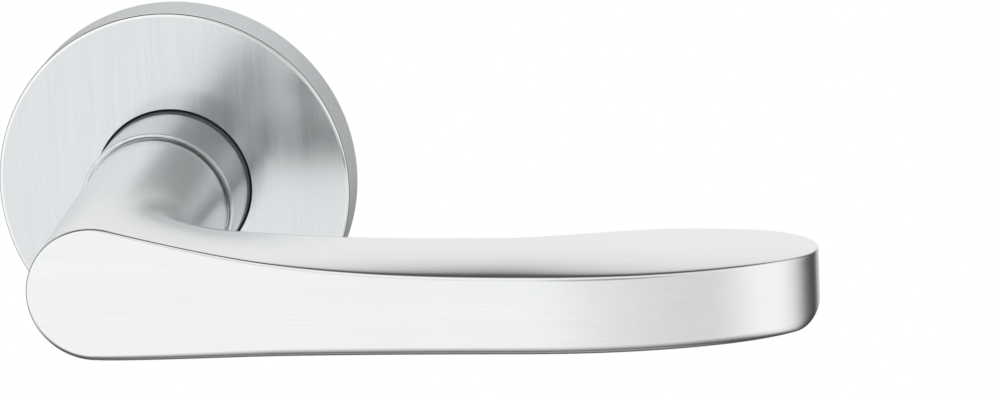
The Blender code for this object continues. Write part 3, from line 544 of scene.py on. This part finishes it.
def topLine(x, g, room=1.0):
    # upper half of a section over the share of depth g: a bowed slope up to the crown, then a quarter ellipse;
    # room is the section's depth as a share of the full grip, and the crown rises less where it is short
    edge, ridge = edgeHeight(x), ridgeHeight(x)
    crown = edge + (crownHeight(x) - edge) * room
    share = crownShare(x)
    climb = 1 - np.clip(1 - g / share, 0, 1) ** lever["slopePower"]
    fall = np.clip((g - share) / (1 - share), 0, 1)
    return np.where(g < share, edge + (crown - edge) * climb, ridge + (crown - ridge) * np.sqrt(1 - fall ** 2))


def footLine(x, g, room=1.0):
    # lower half of a section: flat, then a quarter ellipse up to the back; called like topLine, but the foot keeps
    # its height whatever the room
    foot, ridge = footHeight(x), ridgeHeight(x)
    fall = np.clip((g - lever["footFlat"]) / (1 - lever["footFlat"]), 0, 1)
    return ridge + (foot - ridge) * np.sqrt(1 - fall ** 2)


def frontPlan():
    # front edge seen from above: straight, then depth = D(1 - root(1 - u^p)), ending square to the door
    start, run, power = lever["returnStart"], lever["gripEnd"] - lever["returnStart"], lever["returnPower"]
    plain = np.linspace(lever["throatX"], lever["backEnd"], lever["gripCount"])
    share = np.clip((plain - start) / run, 0, 1) ** power
    first = math.asin(math.sqrt(share[-1]))
    turn = np.linspace(first, math.pi / 2, lever["tipCount"])[1:]
    x = np.concatenate([plain, start + run * np.sin(turn) ** (2 / power)])
    return x, lever["returnDepth"] * (1 - np.concatenate([np.sqrt(1 - share), np.cos(turn)]))


def backPlan(frontX):
    # back of the grip seen from above: swings to the door, then a squared quarter ellipse round the tip
    share = np.clip((frontX - lever["backStart"]) / (lever["backEnd"] - lever["backStart"]), 0, 1)
    depth = lever["gripDepth"] + lever["backShift"] * share ** 2 * (3 - 2 * share)
    tip = np.arange(len(frontX)) >= lever["gripCount"] - 1
    angle = math.pi / 2 * (np.cumsum(tip) - 1) / (np.sum(tip) - 1)
    cornerX = lever["backEnd"] + (lever["gripEnd"] - lever["backEnd"]) * np.sin(angle) ** lever["cornerSquare"]
    cornerDepth = lever["gripDepth"] + lever["backShift"] - lever["backCorner"] * (1 - np.cos(angle))
    return np.where(tip, cornerX, frontX), np.where(tip, cornerDepth, depth)


def sectionRows():
    # shares of the depth, close together at the front edge and the back
    near = np.concatenate([lever["topBevel"] * np.linspace(0, 1, 4), np.linspace(lever["topBevel"],
                           lever["footRound"], 8)[1:]]) / lever["gripDepth"]
    middle = np.linspace(near[-1], lever["crownAt"], lever["middleRows"])[1:]
    turn = np.sin(np.linspace(0, math.pi / 2, lever["backRows"]))[1:]
    return np.concatenate([near, middle, lever["crownAt"] + (1 - lever["crownAt"]) * turn])


def halfShell(g, side):
    # upper (side 1) or lower (side -1) half: round head, throat blended by a Bezier in each layer, free grip
    rows = g[:, None]
    line = topLine if side > 0 else footLine
    leave = math.acos(lever["flareStart"] / lever["neckFace"]) if side > 0 else -math.pi / 2
    ridge = math.asin(float(ridgeHeight(lever["neckFace"])) / lever["neckFace"])
    tangent = ridge + (leave - ridge) * (1 - rows ** 4) ** 0.8
    headDepth = lever["gripDepth"] + lever["throatRound"]
    taper = (lever["neckBack"] - lever["neckFace"]) / (lever["faceHeight"] - lever["neckBase"])
    radius = lever["neckFace"] + taper * rows * headDepth
    share = np.linspace(0, 1, lever["roundCount"])[None, :]
    angle = side * math.pi + (tangent - side * math.pi) * share
    headX, headZ = radius * np.cos(angle), radius * np.sin(angle)
    headD = rows * headDepth + 0 * share

    s = np.linspace(0, 1, lever["throatCount"])[None, 1:-1]
    throatX = lever["throatX"]
    fromX, fromZ = radius * np.cos(tangent), radius * np.sin(tangent)
    slope = line(throatX + 0.5, rows) - line(throatX - 0.5, rows)
    handle = side * lever["throatPull"] * (1 - rows) ** 0.7
    backHandle = lever["throatBackPull"] * (throatX - radius)
    toZ = line(throatX, rows)
    weights = [(1 - s) ** 3, 3 * s * (1 - s) ** 2, 3 * s ** 2 * (1 - s), s ** 3]
    xs = [fromX, fromX + handle * np.sin(tangent), throatX - backHandle, throatX]
    zs = [fromZ, fromZ - handle * np.cos(tangent), toZ - backHandle * slope, toZ]
    blendX = sum(w * p for w, p in zip(weights, xs))
    blendZ = sum(w * p for w, p in zip(weights, zs))
    fillet = lever["throatRound"]
    run = np.clip((throatX - lever["neckFace"]) * s, 0, fillet)
    blendD = rows * (lever["gripDepth"] + fillet - np.sqrt(fillet ** 2 - (fillet - run) ** 2))

    frontX, frontD = frontPlan()
    backX, backD = backPlan(frontX)
    gripX = frontX + rows * (backX - frontX)
    gripD = frontD + rows * (backD - frontD)
    room = np.clip((backD - frontD) / lever["gripDepth"], 0, 1)[None, :]
    gripZ = line(frontX[None, :], rows, room)
    return [np.concatenate(parts, axis=1) for parts in
            ((headX, blendX, gripX), (headZ, blendZ, gripZ), (headD, blendD, gripD))]


def softenEdge(x, z, g, side):
    # the first rows pulled in: a narrow round above with a shallow lip along the grip, and a quarter round below;
    # both fade out on the head
    columns = x.shape[1]
    size = np.full(columns, lever["topBevel"])
    if side < 0:
        fade = np.clip(np.arange(columns) / (lever["roundCount"] + lever["throatCount"]), 0, 1)
        size = lever["topBevel"] + (lever["footRound"] - lever["topBevel"]) * fade
    reach = np.clip(1 - g[:, None] * lever["gripDepth"] / size, 0, 1)
    inset = size * (1 - np.sqrt(1 - reach ** 2))
    if side > 0:
        along = np.clip((np.arange(columns) - lever["roundCount"]) / lever["throatCount"], 0, 1)
        rise = lever["lip"] * along ** 2 * (3 - 2 * along)
        inset = inset - rise * (1 - np.exp(-g[:, None] * lever["gripDepth"] / lever["lipWidth"]))
    radius = np.hypot(x, z)
    head = np.arange(columns) < lever["roundCount"]
    return np.where(head, x * (1 - inset / radius), x), np.where(head, z * (1 - inset / radius), z - side * inset)


def makeLever():
    g = sectionRows()
    halves = []
    for side in (1, -1):
        x, z, d = halfShell(g, side)
        x, z = softenEdge(x, z, g, side)
        halves.append(np.stack([x, d - lever["faceHeight"], z], -1))
    upper, lower = halves
    share = np.concatenate([[0, 0.004], np.linspace(0.03, 0.97, lever["faceRows"]), [0.996, 1]])[:, None, None]
    patches = [upper, lower, upper[0][None] + share * (lower[0] - upper[0])[None],
               upper[:, -1][None] + share * (lower[:, -1] - upper[:, -1])[None]]
    for half, side in ((upper, 1), (lower, -1)):
        last = half[-1, :lever["roundCount"]]
        angle = np.arctan2(last[:, 2], last[:, 0])
        angle = np.where((side < 0) & (angle > math.pi / 2), angle - 2 * math.pi, angle)
        startR, startH = np.hypot(last[0, 0], last[0, 2]), -last[0, 1]
        down = np.linspace(0, 1, lever["neckRows"])
        radii = list(startR + (lever["neckBack"] - startR) * down)
        radii += [lever["neckBack"] - lever["neckChamfer"]] + [lever["journal"]] * 2
        heights = list(startH + (lever["neckBase"] + lever["neckChamfer"] - startH) * down)
        heights += [lever["neckBase"]] * 2
        radii += [lever["groove"]] * 2 + [lever["journal"]] * 2 + [0.0]
        heights += [lever["grooveTop"]] * 2 + [lever["grooveBase"]] * 2 + [-lever["tail"]] * 2
        patches.append(np.stack([np.stack([r * np.cos(angle), -h + 0 * angle, r * np.sin(angle)], -1)
                                 for r, h in zip(radii, heights)]))
    return meshFromPatches("lever_handle_satin", patches, sharp=40.0)


def boxMesh(name, low, high):
    mesh = bpy.data.meshes.new(name)
    shape = bmesh.new()
    bmesh.ops.create_cube(shape, size=1.0)
    for vert in shape.verts:
        vert.co = Vector([(a + b) / 2 + c * (b - a) for a, b, c in zip(low, high, vert.co)]) * mm
    shape.to_mesh(mesh)
    shape.free()
    return mesh


def rodMesh(name, radius, low, high, height):
    # a round cutter standing along Z at a height off the door
    mesh = bpy.data.meshes.new(name)
    shape = bmesh.new()
    bmesh.ops.create_cone(shape, cap_ends=True, segments=64, radius1=radius * mm, radius2=radius * mm,
                          depth=(high - low) * mm)
    bmesh.ops.translate(shape, verts=shape.verts, vec=Vector((0, -height, (low + high) / 2)) * mm)
    shape.to_mesh(mesh)
    shape.free()
    return mesh


def cutWith(piece, mesh):
    # takes the cutter's shape out of the piece and applies it at once
    cutter = bpy.data.objects.new("cutter", mesh)
    bpy.context.scene.collection.objects.link(cutter)
    change = piece.modifiers.new("cut", "BOOLEAN")
    change.operation = "DIFFERENCE"
    change.solver = "EXACT"
    change.object = cutter
    graph = bpy.context.evaluated_depsgraph_get()
    result = bpy.data.meshes.new_from_object(piece.evaluated_get(graph), depsgraph=graph)
    piece.modifiers.clear()
    piece.data = result
    bpy.data.objects.remove(cutter, do_unlink=True)


leverPiece = makeLever()
half = lever["socket"] / 2
over = 1.0  # how far a cutter runs past the surface it opens
cutWith(leverPiece, boxMesh("socket", (-half, -lever["socketDeep"], -half),
                            (half, lever["tail"] + 2 * over, half)))
for sideways in (-1, 1):
    low, high = sorted((sideways * lever["flat"], sideways * (lever["journal"] + over)))
    cutWith(leverPiece, boxMesh("flat", (low, -lever["flatTop"], -half * 3),
                                (high, lever["tail"] + over, half * 3)))
cutWith(leverPiece, rodMesh("grubHole", lever["grubHole"], -lever["neckBack"] - over, -half + over / 2,
                            lever["grubHeight"]))
leverPiece.data.set_sharp_from_angle(angle=math.radians(40))
standFor(leverPiece, "lever_handle", "lever", leverSatin)
print("stage: lever")


# rose cover, collar and dark bearing ring: turned pieces

rose = {"wall": 1.0, "edge": 0.5, "hole": 12.25}
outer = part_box("rose_cover")[1][0] / mm
top = -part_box("rose_cover")[0][1] / mm
rosePiece = turnedPiece("rose_cover_satin", roundedLoop([
    (outer, top, rose["edge"]), (outer, 0.0, 0.2), (outer - rose["wall"], 0.0, 0.2),
    (outer - rose["wall"], top - rose["wall"], 0.4), (rose["hole"], top - rose["wall"], 0.0),
    (rose["hole"], top, 0.12)]), segments=192)
standFor(rosePiece, "rose_cover", "cover", roseSatin)

collar = {"mouth": 11.4, "seat": 10.5, "step": 19.9, "rim": 0.24}
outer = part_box("guide_collar")[1][0] / mm
top, base = -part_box("guide_collar")[0][1] / mm, -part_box("guide_collar")[1][1] / mm
collarPiece = turnedPiece("guide_collar_satin", roundedLoop([
    (outer, top, collar["rim"]), (outer, base, 0.1), (collar["seat"], base, 0.0),
    (collar["seat"], collar["step"], 0.0), (collar["mouth"], collar["step"], 0.0), (collar["mouth"], top, 0.05)]),
    segments=160)
standFor(collarPiece, "guide_collar", "base", collarSatin)

bush = {"tube": 10.2, "ring": 12.0, "ringTop": 8.9, "flangeTop": 5.6, "bore": 8.9}
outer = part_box("front_bush")[1][0] / mm
top, base = -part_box("front_bush")[0][1] / mm, -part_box("front_bush")[1][1] / mm
bushPiece = turnedPiece("front_bush_black", roundedLoop([
    (bush["tube"], top, 0.1), (bush["tube"], bush["ringTop"], 0.0), (bush["ring"], bush["ringTop"], 0.15),
    (bush["ring"], bush["flangeTop"], 0.0), (outer, bush["flangeTop"], 0.1), (outer, base, 0.1),
    (bush["bore"], base, 0.1), (bush["bore"], top, 0.1)]), segments=144)
standFor(bushPiece, "front_bush", "base", blackNylon)
print("stage: rose cover, collar and bush")


# the inside and the back: the CAD surfaces, merged, with broken edges

innerPieces = {
    "mounting_plate": ("base", "cast_zinc", castZinc),
    "spring_housing": ("base", "cast_zinc", castZinc),
    "rear_bush": ("base", "black_nylon", blackNylon),
    "fixing_screw_upper": ("base", "plated_steel", platedSteel),
    "fixing_screw_lower": ("base", "plated_steel", platedSteel),
    "housing_screw_1": ("base", "plated_steel", platedSteel),
    "housing_screw_2": ("base", "plated_steel", platedSteel),
    "stop_pin_rest": ("base", "plated_steel", platedSteel),
    "stop_pin_turned": ("base", "plated_steel", platedSteel),
    "return_spring": ("base", "spring_steel", springSteel),
    "cover_clip_left": ("base", "spring_steel", springSteel),
    "cover_clip_right": ("base", "spring_steel", springSteel),
    "spindle": ("lever", "plated_steel", platedSteel),
    "grub_screw": ("lever", "spring_steel", springSteel),
    "drive_ring": ("lever", "plated_steel", platedSteel),
    "thrust_washer": ("lever", "plated_steel", platedSteel),
    "retaining_ring": ("lever", "spring_steel", springSteel),
}
for node, (body, slot, material) in innerPieces.items():
    standFor(refinedCopy(node), node, body, material)
print("stage: inner pieces")
